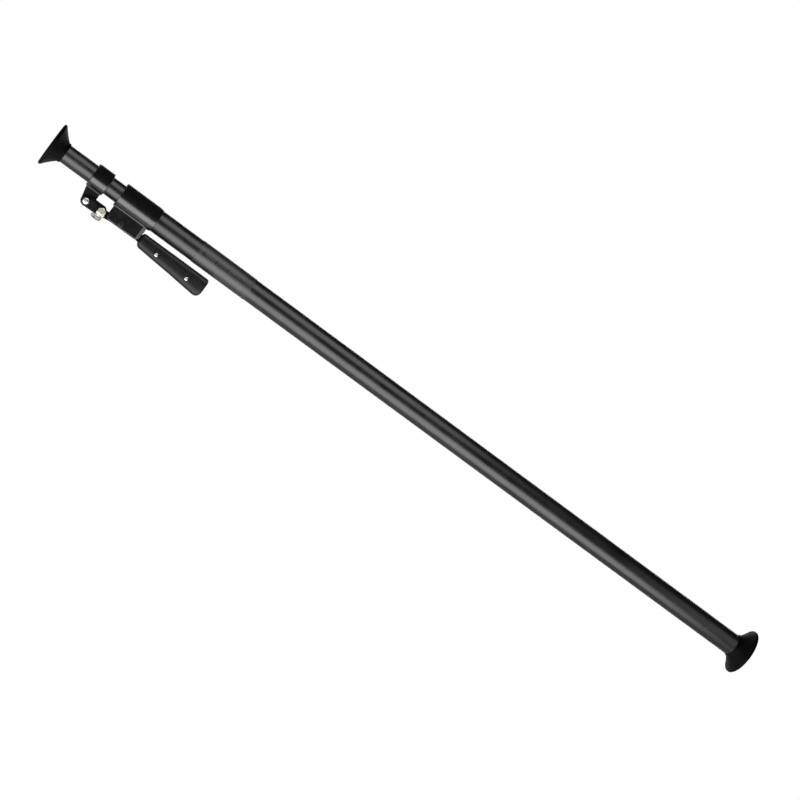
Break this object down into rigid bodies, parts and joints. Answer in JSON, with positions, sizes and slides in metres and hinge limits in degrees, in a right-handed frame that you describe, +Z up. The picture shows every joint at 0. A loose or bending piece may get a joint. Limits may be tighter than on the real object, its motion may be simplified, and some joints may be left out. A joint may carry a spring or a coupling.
{
  "type": "bed cargo bar",
  "caption": "Telescopic cargo bar that jams across a truck bed: two sliding tubes, rubber cup feet and a toggle lever that drives the inner tube outwards.",
  "frame": {"origin": "centre of the fixed foot's bearing plane, where it presses on the truck bed's wall", "axes": "+X along the pole, out of the fixed foot towards its wall; the sliding foot points to -X; +Z up, with the lever hanging under the pole; -Y is the near side"},
  "size_m": [1.82, 0.104, 0.13],
  "materials": {
    "tube_black": "satin",
    "cast_black": "satin",
    "lever_black": "satin",
    "foot_rubber": "matte",
    "bumper_rubber": "matte",
    "handle_plastic": "satin",
    "bush_plastic": "matte",
    "plug_plastic": "matte",
    "bright_steel": "satin",
    "black_steel": "satin",
    "pin_brass": "satin",
    "label_grey": "matte"
  },
  "bodies": {
    "outer_pole": {"outer_tube": "tube_black", "lever_collar": "cast_black", "collar_screw_1": "black_steel", "collar_screw_2": "black_steel", "mouth_bush": "bush_plastic", "pivot_pin": "black_steel", "pivot_clip": "bright_steel", "stop_bumper": "bumper_rubber", "label_band": "label_grey", "base_foot": "foot_rubber", "base_plug": "plug_plastic", "base_foot_washer": "bright_steel", "base_foot_screw": "bright_steel"},
    "grip": {"grip_collar": "cast_black", "grip_liner": "bush_plastic", "link_bolt": "bright_steel", "link_bolt_washer": "black_steel", "link_nut": "bright_steel"},
    "inner_pole": {"inner_tube": "tube_black", "tail_bush": "bush_plastic", "top_foot": "foot_rubber", "top_plug": "plug_plastic", "top_foot_washer": "bright_steel", "top_foot_screw": "bright_steel"},
    "lever": {"lever_arm": "lever_black", "grip_shell_near": "handle_plastic", "grip_shell_far": "handle_plastic", "grip_screw_1": "bright_steel", "grip_screw_2": "bright_steel", "grip_nut_1": "bright_steel", "grip_nut_2": "bright_steel"},
    "link": {"link_plate_near": "lever_black", "link_plate_far": "lever_black", "nose_pin": "pin_brass", "nose_clip": "bright_steel"},
    "catch": {"safety_catch": "bright_steel"}
  },
  "joints": [
    {"name": "lever_swing", "type": "hinge", "parent": "outer_pole", "child": "lever", "pos_m": [-1.615, 0, -0.048], "axis": [0, 1, 0], "range_deg": [0, 24]},
    {"name": "link_swing", "type": "hinge", "parent": "lever", "child": "link", "pos_m": [-1.661, 0, -0.052], "axis": [0, 1, 0], "range_deg": [-54.6, 0]},
    {"name": "grip_travel", "type": "slide", "parent": "outer_pole", "child": "grip", "axis": [1, 0, 0], "range_m": [0, 0.0076]},
    {"name": "pole_extend", "type": "slide", "parent": "grip", "child": "inner_pole", "axis": [-1, 0, 0], "range_m": [0, 1.2]},
    {"name": "catch_turn", "type": "hinge", "parent": "link", "child": "catch", "pos_m": [-1.661, 0, -0.052], "axis": [0, 1, 0], "range_deg": [0, 40]}
  ],
  "couplings": [
    {"joint": "link_swing", "follows": "lever_swing", "ratio": -2.2688},
    {"joint": "grip_travel", "follows": "lever_swing", "m_per_rad": 0.017992}
  ]
}
